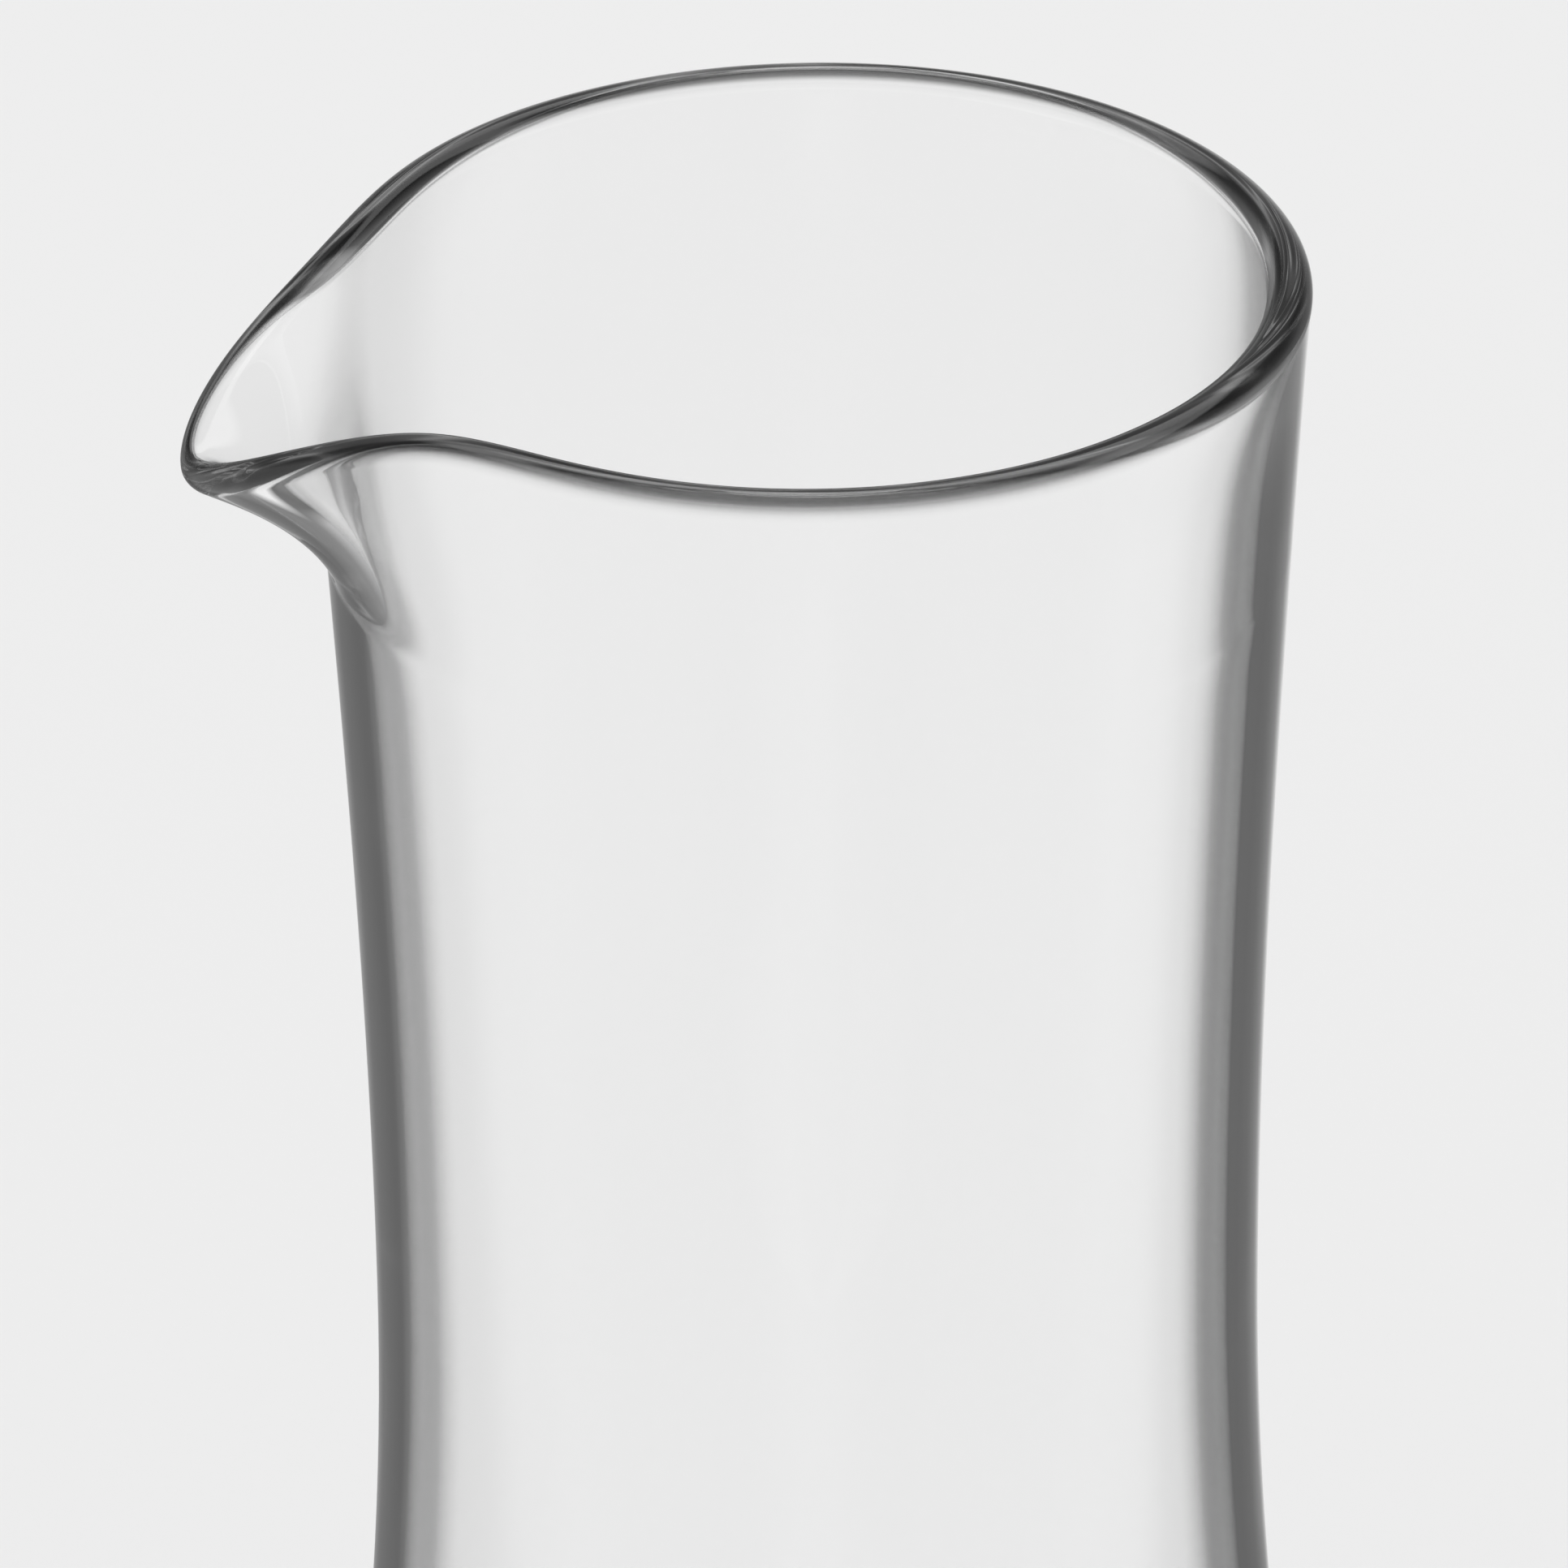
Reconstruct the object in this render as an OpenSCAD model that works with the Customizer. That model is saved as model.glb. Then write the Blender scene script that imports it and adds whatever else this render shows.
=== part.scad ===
/* [Overall] */
// Height of the carafe, from the table to the rim
carafe_h = 270; // [255:1:290]
// Outer radius of the neck at the rim, away from the lip
rim_r = 42.7; // [41:0.1:44]

/* [Neck] */
// Outer radius at the waist, the narrowest place
waist_r = 38.7; // [37:0.1:40]
// Depth of the waist below the rim
waist_depth = 98.5; // [88:0.5:108]
// Outward lean of the neck at the rim, as a share of its height
rim_lean_share = 0.06; // [0.03:0.005:0.1]

/* [Belly and base] */
// Height at which the flare under the waist is steepest
flare_z = 90; // [80:1:100]
// Outer radius there
flare_r = 46.9; // [46:0.1:49]
// Outward lean there, as a share of the height
flare_lean_share = 0.2; // [0.16:0.01:0.24]
// Height of the widest place
belly_z = 40; // [36:1:48]
// Outer radius at the widest place
belly_r = 53; // [52:0.5:55]
// Outer radius of the flat ring that the carafe stands on
foot_r = 40; // [36:0.5:43]
// Inner radius of that ring
foot_inner_r = 30; // [20:0.5:33]
// Depth of the shallow hollow under the base
punt_depth = 1.6; // [0.5:0.1:2.5]

/* [Glass] */
// Thickness of the glass at the fire-polished rim
rim_wall = 3.9; // [3:0.1:4.2]
// Thickness of the neck just below the rim
neck_wall = 3.2; // [2.8:0.1:3.8]
// Thickness of the wall at the belly
belly_wall = 2.3; // [2:0.1:3]
// Thickness of the base at its centre
base_wall = 7.5; // [6:0.5:10]
// Height of the rounded top of the rim above the end of the wall
rim_round = 1.85; // [1.2:0.05:2.2]
// How far the fire-polished rim swells out past the neck's line
rim_swell = 0.25; // [0:0.05:0.6]

/* [Pouring lip] */
// How far the lip is pulled out past the round rim
lip_pull = 12.1; // [10:0.1:14]
// How far the tip of the lip is drawn down
lip_drop = 11.2; // [8:0.1:12]
// Depth below the rim at which the lip has died out
lip_zone = 22.6; // [20:0.2:30]
// Half angle of the lip's outward pull, in degrees
lip_angle = 18.8; // [16:0.1:21]
// Half angle of the lip's downward draw, in degrees
lip_drop_angle = 18.7; // [15:0.1:20]
// How far the neck is drawn in around the lip, as the pull takes glass from it
pinch = 1.1; // [0:0.1:2]
// Thickness of the glass at the tip of the lip
lip_wall = 2.9; // [1.8:0.1:3.2]

/* [Hidden] */

// Shares and exponents that shape the lip; they have no length
pull_fade_share = 1.5;
drop_fade_share = 1.4;
pull_side_share = 1.94;
drop_side_share = 1.64;
pinch_angle = 30;
pinch_width_angle = 86;
pinch_fade_share = 2.8;
lip_wall_angle = 47;
// Roundness of the heel outside and of the bowl inside; 2 would be an ellipse
heel_share = 2.5;
bowl_share = 3.2;
// The rim wall and its swelling settle to the neck over this depth
rim_wall_depth = 3.5;
// Steps of the smooth shapes
around = 96;
down = 16;
rim_steps = 6;
curve_steps = 26;
// The facets round the top crowd towards the lip by this angle
crowd_angle = 26;
// The top of the carafe enters the lower wall by this much, a hair inside its two faces
joint_depth = carafe_h / 500;
joint_hair = carafe_h / 4500;
// The step used to find the wall's normal
probe = carafe_h / 100000;
probe_angle = 0.05;

// The rim line is the middle of the wall's end, under its rounded top
rim_line_z = carafe_h - rim_round;
waist_z = carafe_h - waist_depth;
join_depth = lip_zone * 1.08;
join_z = rim_line_z - join_depth;

// Cubic curve from y0 to y1 with the slopes m0 and m1, over a run of length l
function ease(u, l, y0, m0, y1, m1) =
    (1 - 3 * u * u + 2 * u * u * u) * y0 + (u - 2 * u * u + u * u * u) * l * m0
    + (3 * u * u - 2 * u * u * u) * y1 + (u * u * u - u * u) * l * m1;

// Outer radius of the plain round carafe at a height above the belly
function outer_r(z) =
    z >= waist_z ? ease((z - waist_z) / waist_depth, waist_depth, waist_r, 0, rim_r, rim_lean_share)
    : z >= flare_z ? ease((z - flare_z) / (waist_z - flare_z), waist_z - flare_z,
                          flare_r, -flare_lean_share, waist_r, 0)
    : ease((z - belly_z) / (flare_z - belly_z), flare_z - belly_z,
           belly_r, 0, flare_r, -flare_lean_share);

// Thickness of the plain wall at a height
function wall(z) =
    belly_wall + (neck_wall - belly_wall) * (z - belly_z) / (carafe_h - belly_z)
    + (rim_wall - neck_wall) * exp((z - rim_line_z) / rim_wall_depth);

// Angle from the lip, folded to 0 to 180
function from_lip(a) = abs(a > 180 ? a - 360 : a);

// Bell curve over an angle
function bell(a, width, power) = exp(-pow(a / width, power));

// Fade of the lip from 1 at the rim to 0 at the end of its zone
function fade(d, power) = pow(max(0, 1 - d / lip_zone), power);

// Middle of the wall at an angle from the lip and a depth below the rim line
function middle(a, d) =
    let (off = from_lip(a),
         plain = outer_r(rim_line_z - d) - wall(rim_line_z - d) / 2,
         out = lip_pull * bell(off, lip_angle, pull_side_share) * fade(d, pull_fade_share),
         nip = pinch * bell(off - pinch_angle, pinch_width_angle, 2) * fade(d, pinch_fade_share),
         low = lip_drop * bell(off, lip_drop_angle, drop_side_share) * fade(d, drop_fade_share),
         swell = rim_swell * exp(-d / rim_wall_depth),
         r = plain + swell + out - nip)
    [-r * cos(a), -r * sin(a), rim_line_z - d - low];

// Thickness of the wall at an angle and a depth, thinned where the lip is drawn out
function thickness(a, d) =
    let (thin = bell(from_lip(a), lip_wall_angle, 2) * fade(d, 2))
    wall(rim_line_z - d) * (1 - thin) + lip_wall * thin;

// Unit vector out of the outer face at that place
function normal(a, d) =
    let (n = cross(middle(a, d + probe) - middle(a, d),
                   middle(a + probe_angle, d) - middle(a - probe_angle, d)))
    n / norm(n);

// Unit vector up the wall at the rim line
function up_wall(a) =
    let (v = middle(a, 0) - middle(a, probe))
    v / norm(v);

// Places on the outer face, on the inner face and on the rounded rim between them
function face_point(a, d, side) = middle(a, d) + normal(a, d) * (side * thickness(a, d) / 2);
function rim_point(a, turn) =
    middle(a, 0) + normal(a, 0) * (cos(turn) * thickness(a, 0) / 2) + up_wall(a) * (sin(turn) * rim_round);

// A place where the top enters the lower wall
function joint_point(a, side, z) =
    let (r = outer_r(join_z) - (side > 0 ? joint_hair : wall(join_z) - joint_hair))
    [-r * cos(a), -r * sin(a), z];

// Angles round the carafe, closer together at the lip
angles = [for (i = [0 : around - 1])
    let (t = 360 * i / around)
    t - crowd_angle * sin(t)];

// Depths below the rim line, closer together at the rim
depths = [for (j = [0 : down])
    join_depth * pow(j / down, 1.5)];

// Closed loop of rings: down the inner face, across the joint, up the outer face, over the rim
rings = concat(
    [for (j = [0 : down - 1]) [for (a = angles) face_point(a, depths[j], -1)]],
    [[for (a = angles) joint_point(a, -1, join_z + joint_depth)],
     [for (a = angles) joint_point(a, -1, join_z - joint_depth)],
     [for (a = angles) joint_point(a, 1, join_z - joint_depth)],
     [for (a = angles) joint_point(a, 1, join_z + joint_depth)]],
    [for (j = [down - 1 : -1 : 0]) [for (a = angles) face_point(a, depths[j], 1)]],
    [for (k = [1 : rim_steps - 1]) [for (a = angles) rim_point(a, 180 * k / rim_steps)]]);

// The rounded top of the carafe with its pouring lip
module lip_zone_glass() {
    count = len(rings);
    polyhedron(
        points = [for (ring = rings) for (p = ring) p],
        faces = [for (j = [0 : count - 1]) for (i = [0 : around - 1])
            let (i2 = (i + 1) % around, j2 = (j + 1) % count,
                 p = j * around + i, q = j * around + i2,
                 r = j2 * around + i2, s = j2 * around + i)
            for (face = [[p, r, q], [p, s, r]]) face]);
}

// Half section of everything below the lip, turned round the axis
outer_side = [for (k = [1 : curve_steps * 3])
    let (z = belly_z + (join_z - belly_z) * k / (curve_steps * 3))
    [outer_r(z), z]];
inner_side = [for (k = [curve_steps * 3 : -1 : 1])
    let (z = belly_z + (join_z - belly_z) * k / (curve_steps * 3))
    [outer_r(z) - wall(z), z]];
heel = [for (k = [0 : curve_steps])
    let (t = 90 * k / curve_steps)
    [foot_r + (belly_r - foot_r) * pow(sin(t), 2 / heel_share),
     belly_z * (1 - pow(cos(t), 2 / heel_share))]];
bowl = [for (k = [0 : curve_steps])
    let (t = 90 * k / curve_steps)
    [(belly_r - wall(belly_z)) * pow(cos(t), 2 / bowl_share),
     belly_z - (belly_z - base_wall) * pow(sin(t), 2 / bowl_share)]];
punt = [for (k = [0 : curve_steps / 2 - 1])
    let (r = foot_inner_r * 2 * k / curve_steps)
    [r, punt_depth * (1 - pow(r / foot_inner_r, 2))]];

module lower_glass() {
    rotate_extrude($fn = 180)
        polygon(concat(punt, [[foot_inner_r, 0]], heel, outer_side, inner_side, bowl));
}

module glass_body() {
    color([0.90, 0.92, 0.92, 0.5])
    union() {
        lower_glass();
        lip_zone_glass();
    }
}

glass_body();
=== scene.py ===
"""Looks of a clear glass water carafe with a pulled pouring lip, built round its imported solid."""

import logging
import math
from dataclasses import dataclass
from enum import Enum

import bpy
import numpy as np
from mathutils import Matrix, Vector


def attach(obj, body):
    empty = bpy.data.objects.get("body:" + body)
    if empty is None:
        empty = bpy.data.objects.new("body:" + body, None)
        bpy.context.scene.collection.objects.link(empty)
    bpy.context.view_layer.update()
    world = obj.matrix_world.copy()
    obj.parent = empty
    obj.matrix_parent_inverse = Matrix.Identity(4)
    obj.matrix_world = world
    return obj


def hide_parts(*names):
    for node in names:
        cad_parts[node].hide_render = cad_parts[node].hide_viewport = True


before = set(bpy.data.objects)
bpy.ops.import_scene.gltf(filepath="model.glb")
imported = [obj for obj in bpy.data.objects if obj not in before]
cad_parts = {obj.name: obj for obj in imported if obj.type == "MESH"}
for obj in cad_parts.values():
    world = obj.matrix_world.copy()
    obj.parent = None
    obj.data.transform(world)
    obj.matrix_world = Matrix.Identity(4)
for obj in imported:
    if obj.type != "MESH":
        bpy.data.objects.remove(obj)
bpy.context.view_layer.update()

log = logging.getLogger("carafe")

# A millimetre in metres
MM = 0.001
# Half a turn in degrees
HALF_TURN = 180.0
# Light passes this many faces on its way through a wall
WALL_FACES = 2
# Counts are compared half a bounce away from whole numbers
HALF_COUNT = 0.5

Levels = tuple[tuple[float, float], ...]
Socket = bpy.types.NodeSocket
Value = Socket | float


class Face(Enum):
    """Which face of the glass wall a point lies on."""

    INNER = -1
    OUTER = 1


class Share(Enum):
    """What the mesh holds for each of its points, by the name of the attribute: where the glass's
    painted shade falls on the rim and where it is kept off the lip.
    """

    RIM = "rim_share"
    LIP = "lip_share"


class Bounce(Enum):
    """Kinds of bounce that a light path counts, by the name of the count."""

    DIFFUSE = "Diffuse Depth"
    MIRROR = "Glossy Depth"
    THROUGH = "Transmission Depth"


class Graph:
    """A node tree under construction, with short calls for the nodes used here."""

    def __init__(self, tree: bpy.types.NodeTree) -> None:
        """Wrap a node tree.

        Args:
            tree: the tree that gets the nodes.
        """
        self.tree = tree
        self.path = tree.nodes.new("ShaderNodeLightPath")

    def feed(self, socket: Socket, value: Value) -> None:
        """Set a socket, or link it.

        Args:
            socket: the input to feed.
            value: a number, or the output that feeds it.
        """
        if isinstance(value, Socket):
            self.tree.links.new(value, socket)
        else:
            socket.default_value = value

    def math(self, operation: str, *values: Value) -> Socket:
        """Add a calculation.

        Args:
            operation: what it does.
            values: what it works on.

        Returns:
            The result.
        """
        node = self.tree.nodes.new("ShaderNodeMath")
        node.operation = operation
        for socket, value in zip(node.inputs, values):
            self.feed(socket, value)
        return node.outputs[0]

    def curve(self, value: Socket, stops: Levels, span: float = 1.0) -> Socket:
        """Add a curve of straight runs between levels.

        Args:
            value: what the curve reads, 0 to 1.
            stops: pairs of place and level.
            span: the place that a value of 1 stands for.

        Returns:
            The level.
        """
        node = self.tree.nodes.new("ShaderNodeValToRGB")
        ramp = node.color_ramp
        while len(ramp.elements) < len(stops):
            ramp.elements.new(1.0)
        for element, (place, level) in zip(ramp.elements, stops):
            element.position = place / span
            element.color = (level, level, level, 1.0)
        self.feed(node.inputs[0], value)
        return node.outputs[0]

    def mix(self, share: Socket, low: Value, high: Value) -> Socket:
        """Blend two levels.

        Args:
            share: how much of the second one, 0 to 1.
            low: the level at 0.
            high: the level at 1.

        Returns:
            The blended level.
        """
        node = self.tree.nodes.new("ShaderNodeMix")
        self.feed(node.inputs["Factor"], share)
        self.feed(node.inputs["A"], low)
        self.feed(node.inputs["B"], high)
        return node.outputs["Result"]

    def share(self, kind: Share) -> Socket:
        """Read a share that the mesh holds for each of its points.

        Args:
            kind: which share.

        Returns:
            The share, 0 to 1.
        """
        node = self.tree.nodes.new("ShaderNodeAttribute")
        node.attribute_name = kind.value
        return node.outputs["Fac"]

    def after(self, kind: Bounce, count: int = 1) -> Socket:
        """Tell if the light's path has had enough bounces of a kind.

        Args:
            kind: the kind of bounce.
            count: how many.

        Returns:
            1 if it has, or else 0.
        """
        return self.math("GREATER_THAN", self.path.outputs[kind.value], count - HALF_COUNT)

    def surface(self, share: Socket, usual: bpy.types.Node, other: bpy.types.Node) -> None:
        """Blend two shaders into the material's surface.

        Args:
            share: how much of the second one, 0 to 1.
            usual: the shader at 0.
            other: the shader at 1.
        """
        node = self.tree.nodes.new("ShaderNodeMixShader")
        for socket, value in zip(node.inputs, (share, usual.outputs[0], other.outputs[0])):
            self.feed(socket, value)
        self.feed(self.tree.nodes["Material Output"].inputs["Surface"], node.outputs[0])


def put(name: str, data: bpy.types.ID) -> bpy.types.Object:
    """Put an object into the scene.

    Args:
        name: name of the object.
        data: its mesh or camera.

    Returns:
        The object.
    """
    thing = bpy.data.objects.new(name, data)
    bpy.context.scene.collection.objects.link(thing)
    return thing


@dataclass(frozen=True)
class ClearGlass:
    """Clear soda-lime glass, fire-polished on both faces.

    Its first two curves are pairs of how far a face is turned away, 0 to 1, and the painted shade
    there, which makes the glass darker towards its edges.

    Args:
        name: name of the material.
        ior: refractive index of the glass.
        entering_shade: painted shade for light on its way into the glass, darker where a face is
            turned away.
        leaving_shade: painted shade for light on its way out of the first wall that it came
            through.
        rim: pairs of the share of the rounded rim, 0 to 1, and the painted shade there, as the
            light that it lets in.
        painted_glow_after: reflections after which the glass shows a painted glow in place of its
            own light.
        painted_streaks: pairs of the height of a soft noise, 0 to 1, and the level of the painted
            glow there, dark with lighter lines.
        painted_streak_scale: how fine the noise of the painted glow is, in waves a metre.
    """

    name: str = "clear_glass_painted_shade_and_glow"
    ior: float = 1.52
    entering_shade: Levels = ((0.61, 1.0), (0.665, 0.86), (0.7, 0.62), (0.735, 0.44), (0.83, 0.36))
    leaving_shade: Levels = ((0.199, 1.0), (0.205, 0.88), (0.212, 0.6), (0.22, 0.24), (0.23, 0.35),
                       (0.238, 0.75), (0.2455, 1.0))
    rim: Levels = ((0.33, 1.0), (0.39, 0.95), (0.47, 0.78), (0.53, 0.52), (0.58, 0.24),
                   (0.63, 0.08), (0.72, 0.035), (0.79, 0.045), (0.84, 0.33), (1.0, 0.6))
    painted_glow_after: int = 4
    painted_streaks: Levels = ((0.36, 0.05), (0.5, 0.08), (0.57, 0.11), (0.64, 0.32), (0.7, 0.14),
                       (0.8, 0.08))
    painted_streak_scale: float = 60.0

    def material(self) -> bpy.types.Material:
        """Make the material.

        Returns:
            The node material of the glass.
        """
        material = bpy.data.materials.new(self.name)
        material.use_nodes = True
        material.cycles.emission_sampling = "NONE"
        shader = material.node_tree.nodes["Principled BSDF"]
        shader.inputs["Roughness"].default_value = 0.0
        shader.inputs["IOR"].default_value = self.ior
        shader.inputs["Transmission Weight"].default_value = 1.0
        graph = Graph(material.node_tree)
        # The base colour carries painted shade: darker where a face is turned away and over the
        # rim.
        graph.feed(shader.inputs["Base Color"], self.painted_shade(graph))
        # After many reflections the glass is swapped for the painted glow.
        graph.surface(graph.after(Bounce.MIRROR, self.painted_glow_after), shader, self.painted_glow(graph))
        return material

    def painted_shade(self, graph: Graph) -> Socket:
        """Give the painted shade in the glass's colour, darker where a face is turned away and over
        the rim, with the lip left without it.

        Args:
            graph: the tree to build in.

        Returns:
            The level of painted shade, for light on its way in and on its way out.
        """
        turned = graph.tree.nodes.new("ShaderNodeLayerWeight").outputs["Facing"]
        inside = graph.tree.nodes.new("ShaderNodeNewGeometry").outputs["Backfacing"]
        lip = graph.share(Share.LIP)
        # Painted shade over the rounded rim, darkest partway over it and lighter at its top.
        rim = graph.curve(graph.share(Share.RIM), self.rim)
        entering_shade = graph.mix(lip, graph.curve(turned, self.entering_shade), 1.0)
        entering_shade = graph.math("MULTIPLY", entering_shade, rim)
        # On the way out, painted shade only for light still in its first wall, not yet mirrored and
        # off the lip.
        past = graph.after(Bounce.THROUGH, WALL_FACES)
        clear = graph.math("MAXIMUM", graph.math("MAXIMUM", graph.after(Bounce.MIRROR), past), lip)
        leaving_shade = graph.mix(clear, graph.curve(turned, self.leaving_shade), 1.0)
        return graph.mix(inside, entering_shade, leaving_shade)

    def painted_glow(self, graph: Graph) -> bpy.types.Node:
        """Paint a glow in place of light that the glass no longer follows: a dark level with soft,
        lighter lines.

        Args:
            graph: the tree to build in.

        Returns:
            The shader for lost light.
        """
        noise = graph.tree.nodes.new("ShaderNodeTexNoise")
        noise.inputs["Scale"].default_value = self.painted_streak_scale
        noise.inputs["Detail"].default_value = 0.0
        place = graph.tree.nodes.new("ShaderNodeTexCoord")
        graph.feed(noise.inputs["Vector"], place.outputs["Object"])
        # An emission that paints a glow, dark with lighter lines, where the glass's own light is
        # dropped.
        deep = graph.tree.nodes.new("ShaderNodeEmission")
        graph.feed(deep.inputs["Color"], graph.curve(noise.outputs[0], self.painted_streaks))
        return deep


@dataclass(frozen=True)
class CarafeShape:
    """Sizes of the carafe in millimetres and the surface that follows from them.

    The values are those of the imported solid's source, apart from the lip's pull. That is 0.04
    less here, because the finer mesh reaches a little past the solid's facets.
    """

    carafe_h: float = 270.0
    rim_r: float = 42.7
    waist_r: float = 38.7
    waist_depth: float = 98.5
    rim_lean: float = 0.06
    flare_z: float = 90.0
    flare_r: float = 46.9
    flare_lean: float = 0.2
    belly_z: float = 40.0
    belly_r: float = 53.0
    foot_r: float = 40.0
    foot_inner_r: float = 30.0
    punt_depth: float = 1.6
    rim_wall: float = 3.9
    neck_wall: float = 3.2
    belly_wall: float = 2.3
    base_wall: float = 7.5
    rim_round: float = 1.85
    lip_pull: float = 12.06
    lip_drop: float = 11.2
    lip_zone: float = 22.6
    lip_angle: float = 18.8
    lip_drop_angle: float = 18.7
    pinch: float = 1.1
    lip_wall: float = 2.9
    pull_fade: float = 1.5
    drop_fade: float = 1.4
    pull_side: float = 1.94
    drop_side: float = 1.64
    pinch_angle: float = 30.0
    pinch_width: float = 86.0
    pinch_side: float = 2.0
    pinch_fade: float = 2.8
    lip_wall_angle: float = 47.0
    lip_wall_side: float = 2.0
    lip_wall_fade: float = 2.0
    heel_round: float = 2.5
    bowl_round: float = 3.2
    rim_wall_depth: float = 3.5
    rim_swell: float = 0.25
    probe: float = 1e-3
    probe_angle: float = 0.02

    @property
    def rim_line_z(self) -> float:
        """Height of the end of the wall, under the rounded top of the rim."""
        return self.carafe_h - self.rim_round

    @property
    def waist_z(self) -> float:
        """Height of the waist."""
        return self.carafe_h - self.waist_depth

    @staticmethod
    def ease(u: np.ndarray, run: float, y0: float, m0: float, y1: float, m1: float) -> np.ndarray:
        """Follow a cubic curve between two values with given slopes.

        Args:
            u: share of the run, 0 to 1.
            run: length of the run.
            y0: value at the start.
            m0: slope at the start.
            y1: value at the end.
            m1: slope at the end.

        Returns:
            The values on the curve.
        """
        return (
            (1 - 3 * u**2 + 2 * u**3) * y0
            + (u - 2 * u**2 + u**3) * run * m0
            + (3 * u**2 - 2 * u**3) * y1
            + (u**3 - u**2) * run * m1
        )

    def outer_r(self, z: np.ndarray) -> np.ndarray:
        """Give the outer radius of the plain round carafe.

        Args:
            z: heights above the belly.

        Returns:
            The radii at those heights.
        """
        flare_run = self.waist_z - self.flare_z
        belly_run = self.flare_z - self.belly_z
        neck = self.ease((z - self.waist_z) / self.waist_depth, self.waist_depth,
                         self.waist_r, 0.0, self.rim_r, self.rim_lean)
        flare = self.ease((z - self.flare_z) / flare_run, flare_run,
                          self.flare_r, -self.flare_lean, self.waist_r, 0.0)
        belly = self.ease((z - self.belly_z) / belly_run, belly_run,
                          self.belly_r, 0.0, self.flare_r, -self.flare_lean)
        return np.where(z >= self.waist_z, neck, np.where(z >= self.flare_z, flare, belly))

    def wall(self, z: np.ndarray) -> np.ndarray:
        """Give the thickness of the plain wall.

        Args:
            z: heights.

        Returns:
            The thickness at those heights.
        """
        rise = (z - self.belly_z) / (self.carafe_h - self.belly_z)
        rim = np.exp(np.minimum(0.0, z - self.rim_line_z) / self.rim_wall_depth)
        return (
            self.belly_wall
            + (self.neck_wall - self.belly_wall) * rise
            + (self.rim_wall - self.neck_wall) * rim
        )

    @staticmethod
    def bell(angle: np.ndarray, width: float, power: float) -> np.ndarray:
        """Give a bell curve over an angle.

        Args:
            angle: angles in degrees.
            width: angle at which the curve has fallen to 1/e.
            power: steepness of its sides.

        Returns:
            The curve's heights, 1 at the middle.
        """
        return np.exp(-np.abs(angle / width) ** power)

    def fade(self, depth: np.ndarray, power: float) -> np.ndarray:
        """Give how much of the lip is left at a depth.

        Args:
            depth: depths below the rim line.
            power: steepness of the fade.

        Returns:
            1 at the rim and 0 past the lip's zone.
        """
        return np.maximum(0.0, 1 - depth / self.lip_zone) ** power

    def middle(self, angle: np.ndarray, depth: np.ndarray) -> np.ndarray:
        """Give the middle of the wall.

        Args:
            angle: angles from the lip, -180 to 180 degrees.
            depth: depths below the rim line.

        Returns:
            One point for each angle and depth.
        """
        off = np.abs(angle)
        z = self.rim_line_z - depth
        out = self.lip_pull * self.bell(off, self.lip_angle, self.pull_side)
        out = out * self.fade(depth, self.pull_fade)
        nip = self.pinch * self.bell(off - self.pinch_angle, self.pinch_width, self.pinch_side)
        nip = nip * self.fade(depth, self.pinch_fade)
        low = self.lip_drop * self.bell(off, self.lip_drop_angle, self.drop_side)
        low = low * self.fade(depth, self.drop_fade)
        swell = self.rim_swell * np.exp(-depth / self.rim_wall_depth)
        r = self.outer_r(z) - self.wall(z) / 2 + swell + out - nip
        turn = np.radians(angle)
        return np.stack([-r * np.cos(turn), -r * np.sin(turn), z - low], axis=-1)

    def thickness(self, angle: np.ndarray, depth: np.ndarray) -> np.ndarray:
        """Give the thickness of the wall, thinned where the lip is drawn out.

        Args:
            angle: angles from the lip, -180 to 180 degrees.
            depth: depths below the rim line.

        Returns:
            The thickness for each angle and depth.
        """
        thin = self.bell(angle, self.lip_wall_angle, self.lip_wall_side)
        thin = thin * self.fade(depth, self.lip_wall_fade)
        return self.wall(self.rim_line_z - depth) * (1 - thin) + self.lip_wall * thin

    def directions(self, angle: np.ndarray, depth: np.ndarray) -> tuple[np.ndarray, np.ndarray]:
        """Give the wall's directions at each place.

        Args:
            angle: angles from the lip, -180 to 180 degrees.
            depth: depths below the rim line.

        Returns:
            Unit vectors out of the outer face, and unit vectors up the wall.
        """
        below, aside = self.probe, self.probe_angle
        down = self.middle(angle, depth + below) - self.middle(angle, depth)
        along = self.middle(angle + aside, depth) - self.middle(angle - aside, depth)
        out = np.cross(down, along)
        out /= np.linalg.norm(out, axis=-1, keepdims=True)
        up = -down / np.linalg.norm(down, axis=-1, keepdims=True)
        return out, up


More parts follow.
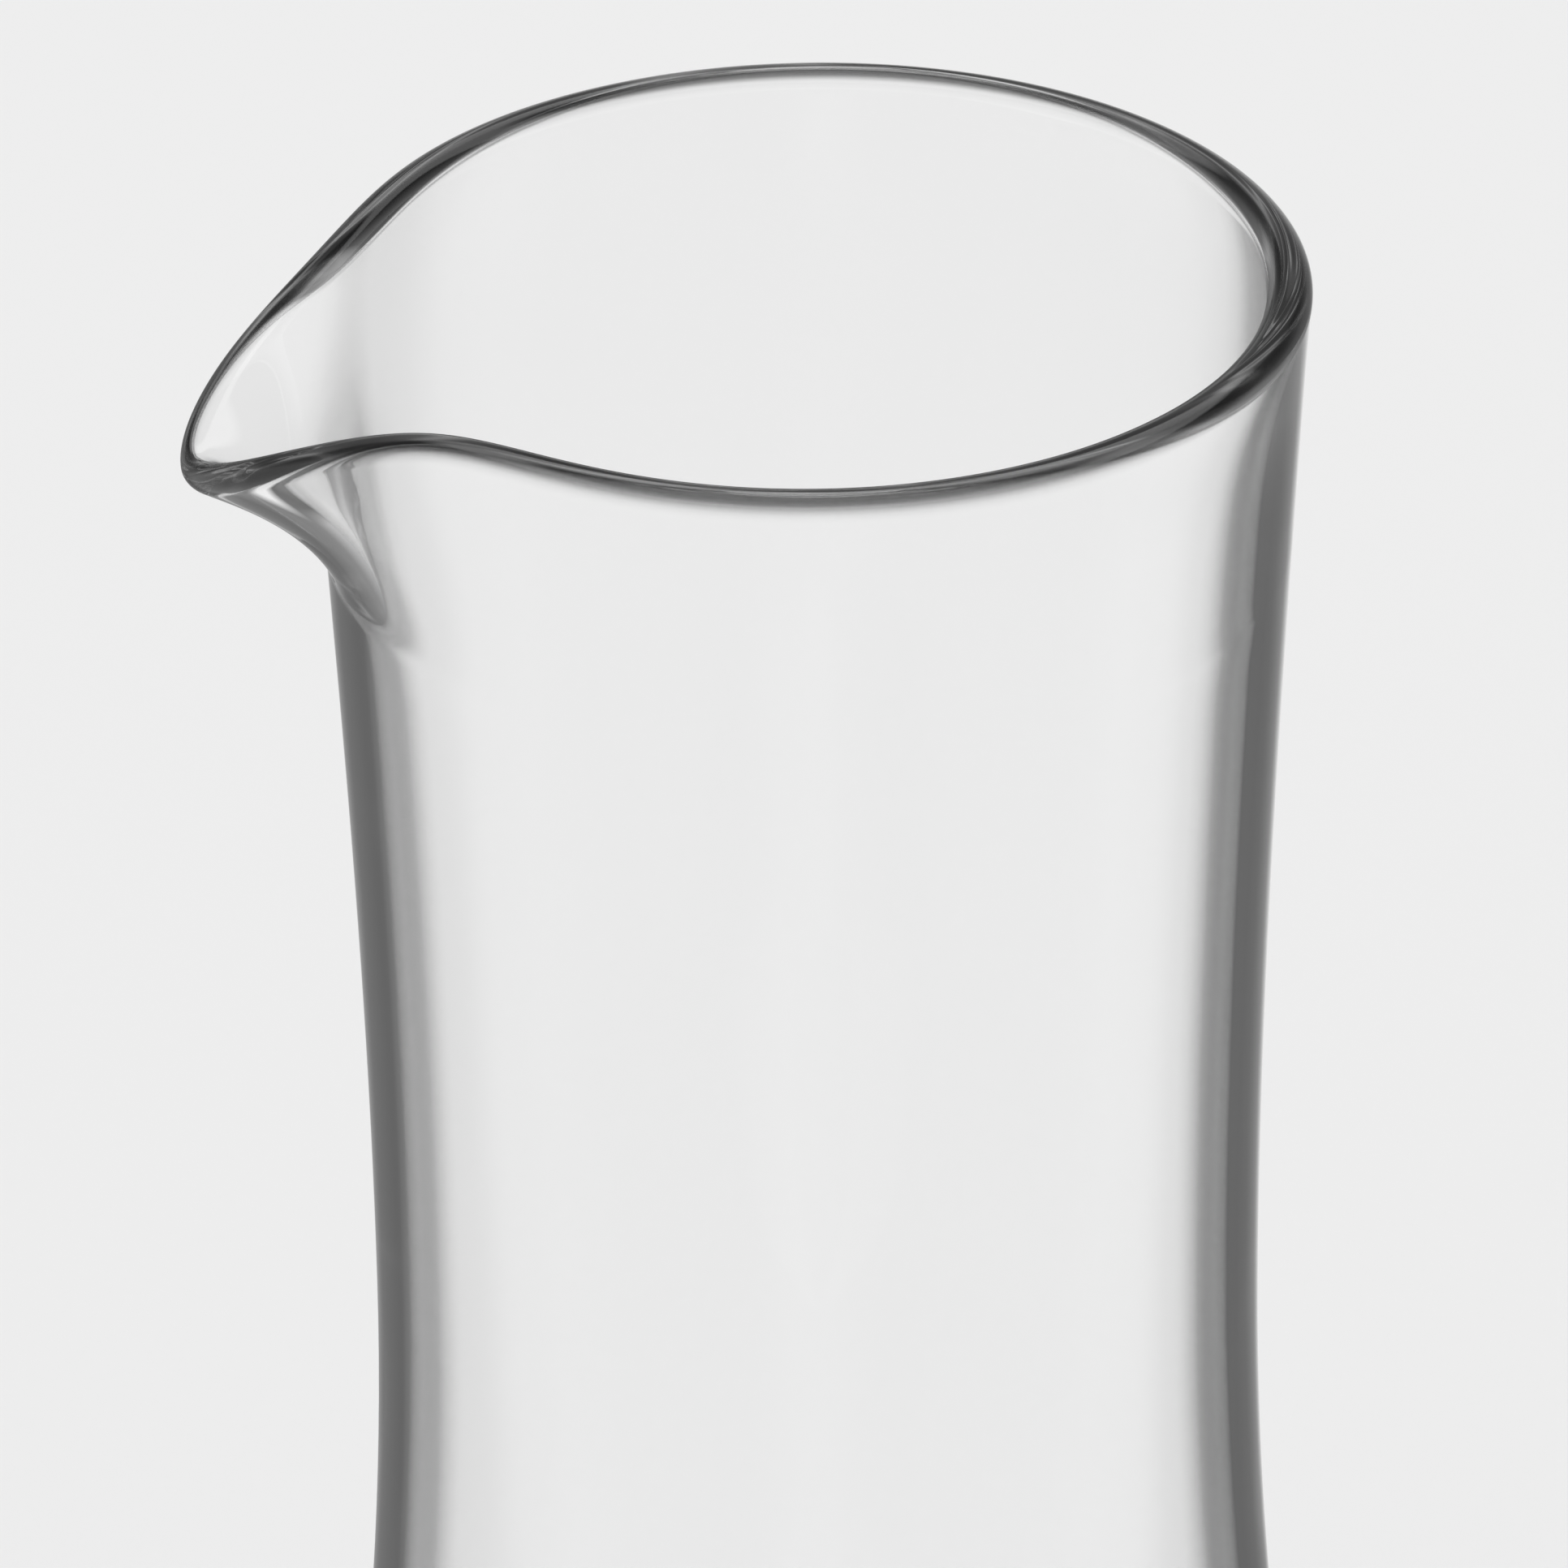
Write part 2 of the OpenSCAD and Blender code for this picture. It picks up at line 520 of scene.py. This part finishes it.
@dataclass
class GlassBody:
    """The carafe: one piece of blown glass with its rim and pouring lip.

    Args:
        shape: the surface that the mesh follows.
        finish: the glass.
        name: name of the piece.
        around: steps round the axis.
        crowd_angle: how far the steps crowd towards the lip, in degrees.
        lip_rows: rows on each face in the zone of the lip.
        lip_crowd: power by which these rows crowd towards the rim.
        lip_end: depth of the last of these rows, in depths of the lip's zone.
        rim_rows: rows over the rounded rim.
        wall_rows: rows on each face between the lip's zone and the belly.
        wall_end: depth of the highest of these rows, in depths of the lip's zone.
        base_rows: rows on each curve of the base.
        punt_rows: rows on the hollow under it.
        rim_reach: how far from the top the rim's share reaches along the outer face.
        rim_reach_inside: how far it reaches along the inner face.
        lip_reach: half angle of the lip kept clear of painted shade, in degrees.
        lip_reach_side: steepness of the clear lip's sides.
        lip_reach_slope: how steeply the clear lip fades down to the end of the lip's zone.
    """

    shape: CarafeShape
    finish: ClearGlass
    name: str = "carafe_glass"
    around: int = 340
    crowd_angle: float = 20.0
    lip_rows: int = 46
    lip_crowd: float = 1.4
    lip_end: float = 1.01
    rim_rows: int = 20
    wall_rows: int = 52
    wall_end: float = 1.02
    base_rows: int = 28
    punt_rows: int = 12
    rim_reach: float = 5.0
    rim_reach_inside: float = 3.3
    lip_reach: float = 32.0
    lip_reach_side: float = 4.0
    lip_reach_slope: float = 2.0

    def angles(self) -> np.ndarray:
        """Give the angles of the points of a row, closer together at the lip.

        Returns:
            Angles from the lip, -180 to 180 degrees.
        """
        turn = 2 * HALF_TURN * np.arange(self.around) / self.around
        turn = turn - self.crowd_angle * np.sin(np.radians(turn))
        return np.where(turn > HALF_TURN, turn - 2 * HALF_TURN, turn)

    def depths(self) -> np.ndarray:
        """Give the depths of the lip's rows below the rim line, from the top down."""
        rows = np.linspace(0, 1, self.lip_rows) ** self.lip_crowd
        return self.shape.lip_zone * self.lip_end * rows

    def lip_face(self, face: Face, depths: np.ndarray) -> np.ndarray:
        """Build the rows of one face in the zone of the lip.

        Args:
            face: the face of the wall.
            depths: depths of the rows below the rim line.

        Returns:
            The points, by row and angle.
        """
        angle, depth = np.meshgrid(self.angles(), depths)
        out, _ = self.shape.directions(angle, depth)
        half = self.shape.thickness(angle, depth)[..., None] / 2
        return self.shape.middle(angle, depth) + face.value * half * out

    def rim(self) -> np.ndarray:
        """Build the rows over the rounded rim, from the outer face to the inner.

        Returns:
            The points, by row and angle.
        """
        angle = self.angles()
        depth = np.zeros_like(angle)
        out, up = self.shape.directions(angle, depth)
        half = self.shape.thickness(angle, depth)[:, None] / 2
        middle = self.shape.middle(angle, depth)
        turns = np.pi * np.arange(1, self.rim_rows) / self.rim_rows
        return np.array([
            middle + out * half * math.cos(turn) + up * self.shape.rim_round * math.sin(turn)
            for turn in turns
        ])

    def turned(self, profile: np.ndarray) -> np.ndarray:
        """Turn a half section round the axis.

        Args:
            profile: radii and heights of the section.

        Returns:
            The points, by row and angle.
        """
        turn = np.radians(self.angles())
        r, z = profile[:, :1], profile[:, 1:]
        return np.stack([-r * np.cos(turn), -r * np.sin(turn), z + 0 * turn], axis=-1)

    def sections(self) -> tuple[np.ndarray, np.ndarray]:
        """Give the half sections of the base and wall below the lip's zone.

        Returns:
            The outer section from the axis up, and the inner one from the top down to the axis.
        """
        s = self.shape
        t = np.linspace(0, np.pi / 2, self.base_rows)
        punt_r = np.linspace(0.0, s.foot_inner_r, self.punt_rows)[1:-1]
        punt = np.stack([punt_r, s.punt_depth * (1 - (punt_r / s.foot_inner_r) ** 2)], axis=-1)
        foot = np.array([[s.foot_inner_r, 0.0], [(s.foot_inner_r + s.foot_r) / 2, 0.0]])
        heel = np.stack([
            s.foot_r + (s.belly_r - s.foot_r) * np.sin(t) ** (2 / s.heel_round),
            s.belly_z * (1 - np.cos(t) ** (2 / s.heel_round)),
        ], axis=-1)
        top = s.rim_line_z - s.lip_zone * self.wall_end
        z = np.linspace(s.belly_z, top, self.wall_rows)[1:]
        outer = np.stack([s.outer_r(z), z], axis=-1)
        inner = np.stack([s.outer_r(z) - s.wall(z), z], axis=-1)[::-1]
        bowl_r = s.belly_r - float(s.wall(np.array(s.belly_z)))
        bowl = np.stack([
            bowl_r * np.cos(t) ** (2 / s.bowl_round),
            s.belly_z - (s.belly_z - s.base_wall) * np.sin(t) ** (2 / s.bowl_round),
        ], axis=-1)[:-1]
        return np.concatenate([punt, foot, heel, outer]), np.concatenate([inner, bowl])

    def rim_shares(self, below: int, inside: int) -> np.ndarray:
        """Give the rows' shares of the rounded rim, which place the painted shade there.

        Args:
            below: rows of the outer face under the lip's zone.
            inside: rows of the inner face under it.

        Returns:
            A share for each row, 0 away from the rim.
        """
        turns = np.linspace(-np.pi / 2, np.pi / 2, self.rim_rows + 1)
        over, depths = self.shape.rim_wall / 2 * turns, self.depths()
        away = np.concatenate([over[0] - depths[::-1], over[1:-1], over[-1] + depths])
        shares = 1 - np.maximum(-away / self.rim_reach, away / self.rim_reach_inside)
        return np.concatenate([np.zeros(below), np.maximum(shares, 0.0), np.zeros(inside)])

    def lip_shares(self, below: int, inside: int) -> np.ndarray:
        """Give the points' shares of the lip, which is kept clear of the painted shade.

        Args:
            below: rows of the outer face under the lip's zone.
            inside: rows of the inner face under it.

        Returns:
            A share by row and angle, 1 at the lip.
        """
        zone, depths = self.shape.lip_zone, self.depths()
        deep = np.concatenate([
            np.full(below, zone), depths[::-1], np.zeros(self.rim_rows - 1), depths,
            np.full(inside, zone),
        ])
        left = np.clip(self.lip_reach_slope * (1 - deep / zone), 0.0, 1.0)
        return np.outer(left, self.shape.bell(self.angles(), self.lip_reach, self.lip_reach_side))

    def faces(self, rows: int) -> list[tuple[int, ...]]:
        """Join the rows to each other, and the end rows to the two points on the axis.

        Args:
            rows: how many rows there are.

        Returns:
            The numbers of each face's points.
        """
        around = self.around
        faces = []
        for row in range(rows - 1):
            low, high = row * around, (row + 1) * around
            for i in range(around):
                j = (i + 1) % around
                faces.append((low + i, low + j, high + j, high + i))
        under, floor = rows * around, rows * around + 1
        last = (rows - 1) * around
        faces += [(under, (i + 1) % around, i) for i in range(around)]
        faces += [(floor, last + i, last + (i + 1) % around) for i in range(around)]
        return faces

    def build(self) -> bpy.types.Object:
        """Build and dress the glass.

        Returns:
            The finished piece.
        """
        below, inside = self.sections()
        depths = self.depths()
        rows = np.concatenate([
            self.turned(below),
            self.lip_face(Face.OUTER, depths[::-1]),
            self.rim(),
            self.lip_face(Face.INNER, depths),
            self.turned(inside),
        ])
        axis = [[0.0, 0.0, self.shape.punt_depth], [0.0, 0.0, self.shape.base_wall]]
        points = np.concatenate([rows.reshape(-1, 3), axis]) * MM
        mesh = bpy.data.meshes.new(self.name)
        mesh.from_pydata(points.tolist(), [], self.faces(len(rows)))
        mesh.validate()
        mesh.shade_smooth()
        # Shares that place the painted shade on the rim and keep it off the lip.
        rim = np.repeat(self.rim_shares(len(below), len(inside)), self.around)
        lip = self.lip_shares(len(below), len(inside)).ravel()
        for kind, shares in ((Share.RIM, rim), (Share.LIP, lip)):
            attribute = mesh.attributes.new(kind.value, "FLOAT", "POINT")
            attribute.data.foreach_set("value", np.append(shares, np.zeros(len(axis))))
        mesh.materials.append(self.finish.material())
        piece = put(self.name, mesh)
        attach(piece, "root")
        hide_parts("glass_body")
        return piece


@dataclass(frozen=True)
class Room:
    """The studio as the glass mirrors it: bright fields on the floor, dark beside and beyond them.

    The curves that go round are pairs of an angle from the aim, in degrees, and a level.

    Args:
        aim: azimuth of the middle of the main bright field, in degrees clockwise from +Y.
        near: where the fields begin, in metres from the carafe's axis.
        near_soft: width of their soft border there.
        far: where they end.
        far_soft: width of their soft border there.
        dark: level of the floor farther than the fields.
        close: levels round the floor nearer than the fields.
        led: levels round the fields for light that was led through the glass.
        glanced: levels round the floor for light that glanced off a face.
        dome: pairs of the height of a direction, 0 to 1, and the level there.
        haze: pairs of the height of a direction and how much of the floor's far edge shows there.
        led_after: reflections after which light counts as led through the glass.
    """

    aim: float = 16.0
    near: float = 0.173
    near_soft: float = 0.03
    far: float = 0.6
    far_soft: float = 0.12
    dark: float = 0.25
    close: Levels = ((0, 0.15), (14, 0.15), (22, 0.95), (46, 0.95), (56, 0.08), (180, 0.08))
    led: Levels = ((0, 0.85), (4.5, 0.75), (10, 0.24), (18, 0.15), (45, 0.11), (56, 0.16),
                   (68, 0.45), (90, 0.45), (110, 0.3), (168, 0.2), (177, 0.35))
    glanced: Levels = ((0, 0.95), (9, 0.85), (20, 0.4), (32, 0.28), (52, 0.3), (66, 0.85),
                       (88, 1.0), (110, 0.9), (160, 0.85), (180, 0.95))
    dome: Levels = ((0.0, 0.08), (0.5, 0.07), (0.6, 0.07), (0.66, 1.4), (0.8, 1.4), (0.86, 0.07))
    haze: Levels = ((0.0, 1.0), (0.08, 0.75), (0.25, 0.2), (0.4, 0.0))
    led_after: int = 2

    def round_angle(self, graph: Graph, split: bpy.types.Node) -> Socket:
        """Give the angle from the aim.

        Args:
            graph: the tree to build in.
            split: the node that holds a place or direction.

        Returns:
            The angle as a share of half a turn.
        """
        angle = graph.math("ARCTAN2", split.outputs["X"], split.outputs["Y"])
        angle = graph.math("SUBTRACT", angle, math.radians(self.aim))
        return graph.math("DIVIDE", graph.math("PINGPONG", angle, math.pi), math.pi)

    def through_wall(self, graph: Graph) -> Socket:
        """Tell if the light was led through the glass and not just mirrored by a face.

        Args:
            graph: the tree to build in.

        Returns:
            1 if it was, or else 0.
        """
        through = graph.math("SUBTRACT", graph.path.outputs[Bounce.THROUGH.value], WALL_FACES)
        wall = graph.math("LESS_THAN", graph.math("ABSOLUTE", through), HALF_COUNT)
        return graph.math("MAXIMUM", wall, graph.after(Bounce.MIRROR, self.led_after))

    def floor(self, graph: Graph, place: Socket) -> Socket:
        """Give the level of the mirrored floor.

        Args:
            graph: the tree to build in.
            place: the place on the floor.

        Returns:
            The level there.
        """
        split = graph.tree.nodes.new("ShaderNodeSeparateXYZ")
        graph.feed(split.inputs[0], place)
        angle = self.round_angle(graph, split)
        squares = [graph.math("POWER", split.outputs[axis], 2.0) for axis in "XY"]
        out = graph.math("SQRT", graph.math("ADD", *squares))
        begun = graph.math("DIVIDE", graph.math("SUBTRACT", out, self.near), self.near_soft)
        left = graph.math("DIVIDE", graph.math("SUBTRACT", self.far, out), self.far_soft)
        close, led, glanced = (graph.curve(angle, levels, HALF_TURN)
                               for levels in (self.close, self.led, self.glanced))
        led = graph.mix(left, self.dark, graph.mix(begun, close, led))
        return graph.mix(self.through_wall(graph), glanced, led)

    def sky(self, graph: Graph, split: bpy.types.Node) -> Socket:
        """Give the level of the mirrored room above the floor.

        Args:
            graph: the tree to build in.
            split: the node that holds the direction.

        Returns:
            The level there.
        """
        height = graph.math("MAXIMUM", split.outputs["Z"], 0.0)
        glanced = graph.curve(self.round_angle(graph, split), self.glanced, HALF_TURN)
        horizon = graph.mix(self.through_wall(graph), glanced, self.dark)
        return graph.mix(graph.curve(height, self.haze), graph.curve(height, self.dome), horizon)


@dataclass(frozen=True)
class Viewpoint:
    """Where the photographer stood, in millimetres from the foot of the carafe.

    Args:
        azimuth: direction of the view, in degrees clockwise from +Y.
        pitch: how far the view looks down, in radians.
        roll: how far the camera leans, in radians.
        distance: from the camera to the middle of the picture.
        aim_h: height of the middle of the picture above the table.
        aim_side: how far the middle of the picture is to the right of the axis.
        focal_px: focal length in pixels of the photograph.
        frame_px: width of the photograph in pixels.
        sensor: width of the sensor.
        clip: nearest and farthest distance that is shown, in metres.
    """

    azimuth: float = 11.0
    pitch: float = 0.50145
    roll: float = -0.012355
    distance: float = 1150.0
    aim_h: float = 220.774
    aim_side: float = -2.413
    focal_px: float = 16448.0
    frame_px: float = 1932.0
    sensor: float = 36.0
    clip: tuple[float, float] = (0.01, 50.0)

    def build(self) -> bpy.types.Object:
        """Stand the camera there.

        Returns:
            The camera.
        """
        data = bpy.data.cameras.new("camera")
        data.sensor_width = self.sensor
        data.lens = self.focal_px * self.sensor / self.frame_px
        data.clip_start, data.clip_end = self.clip
        azimuth = math.radians(self.azimuth)
        right = Vector((math.cos(azimuth), -math.sin(azimuth), 0.0))
        level = math.cos(self.pitch)
        forward = Vector((
            math.sin(azimuth) * level, math.cos(azimuth) * level, -math.sin(self.pitch),
        ))
        up = right.cross(forward)
        across = right * math.cos(self.roll) + up * math.sin(self.roll)
        upright = up * math.cos(self.roll) - right * math.sin(self.roll)
        turn = Matrix((across, upright, -forward)).transposed().to_4x4()
        aim = right * self.aim_side + Vector((0.0, 0.0, self.aim_h))
        camera = put("camera", data)
        camera.matrix_world = Matrix.Translation((aim - forward * self.distance) * MM) @ turn
        bpy.context.scene.camera = camera
        return camera


@dataclass(frozen=True)
class Studio:
    """The plain pale set: floor and world light.

    Args:
        room: what the glass mirrors.
        backdrop: level of the floor and backdrop.
        through: their level where they are seen through the glass.
        plain_light: level of the light on the set.
        floor_r: radius of the floor, in metres.
        floor_gap: how far the floor lies under the foot, so that the two faces stay apart.
        floor_steps: steps round the floor's edge.
        blur: filter for light that reaches the floor through the glass. A higher one leaves the
            floor under the base grey, and none at all takes away the carafe's shadow.
        bounces: how often light may pass or be mirrored by a face.
    """

    room: Room = Room()
    backdrop: float = 0.855
    through: float = 0.857
    plain_light: float = 1.0
    floor_r: float = 3.0
    floor_gap: float = 0.0002
    floor_steps: int = 96
    blur: float = 0.2
    bounces: int = 24

    def world(self) -> None:
        """Light the set evenly, and show the glass the room."""
        world = bpy.data.worlds.new("studio")
        bpy.context.scene.world = world
        world.use_nodes = True
        graph = Graph(world.node_tree)
        place = world.node_tree.nodes.new("ShaderNodeTexCoord")
        split = world.node_tree.nodes.new("ShaderNodeSeparateXYZ")
        graph.feed(split.inputs[0], place.outputs["Generated"])
        mirrored = self.room.sky(graph, split)
        plain = graph.mix(graph.path.outputs["Is Camera Ray"], self.plain_light, self.backdrop)
        plain = graph.mix(graph.path.outputs["Is Transmission Ray"], plain, self.through)
        seen = graph.mix(graph.after(Bounce.MIRROR), plain, mirrored)
        level = graph.mix(graph.after(Bounce.DIFFUSE), seen, self.plain_light)
        graph.feed(world.node_tree.nodes["Background"].inputs["Color"], level)

    def pale(self) -> bpy.types.Material:
        """Make the floor's material: matt and pale, with the room's levels where it is mirrored.

        Returns:
            The node material of the floor.
        """
        material = bpy.data.materials.new("floor_pale")
        material.use_nodes = True
        nodes = material.node_tree.nodes
        nodes.remove(nodes["Principled BSDF"])
        graph = Graph(material.node_tree)
        matt = nodes.new("ShaderNodeBsdfDiffuse")
        led = graph.path.outputs["Is Transmission Ray"]
        graph.feed(matt.inputs["Color"], graph.mix(led, self.backdrop, self.through))
        place = nodes.new("ShaderNodeTexCoord")
        shown = nodes.new("ShaderNodeEmission")
        graph.feed(shown.inputs["Color"], self.room.floor(graph, place.outputs["Object"]))
        direct = graph.math("SUBTRACT", 1.0, graph.after(Bounce.DIFFUSE))
        mirrored = graph.math("MULTIPLY", graph.after(Bounce.MIRROR), direct)
        graph.surface(mirrored, matt, shown)
        return material

    def floor(self) -> bpy.types.Object:
        """Lay the pale floor.

        Returns:
            The floor.
        """
        turn = 2 * np.pi * np.arange(self.floor_steps) / self.floor_steps
        x, y = self.floor_r * np.cos(turn), self.floor_r * np.sin(turn)
        ring = np.stack([x, y, np.full(self.floor_steps, -self.floor_gap)], axis=-1)
        mesh = bpy.data.meshes.new("floor")
        mesh.from_pydata(ring.tolist(), [], [tuple(range(self.floor_steps))])
        mesh.materials.append(self.pale())
        floor = put("floor", mesh)
        return floor

    def build(self) -> bpy.types.Object:
        """Set up the whole stage.

        Returns:
            The floor.
        """
        scene = bpy.context.scene
        scene.view_settings.view_transform = "Standard"
        scene.cycles.use_denoising = True
        scene.cycles.blur_glossy = self.blur
        scene.cycles.max_bounces = self.bounces
        scene.cycles.transmission_bounces = self.bounces
        scene.cycles.glossy_bounces = self.bounces
        self.world()
        return self.floor()


def main() -> None:
    """Build the camera, the set and the carafe, and report each."""
    logging.basicConfig(level=logging.INFO)
    camera = Viewpoint().build()
    log.info("%s: lens of %.0f mm", camera.name, camera.data.lens)
    for part in (Studio(), GlassBody(CarafeShape(), ClearGlass())):
        piece = part.build()
        log.info("%s: %d faces", piece.name, len(piece.data.polygons))


if __name__ == "__main__":
    main()
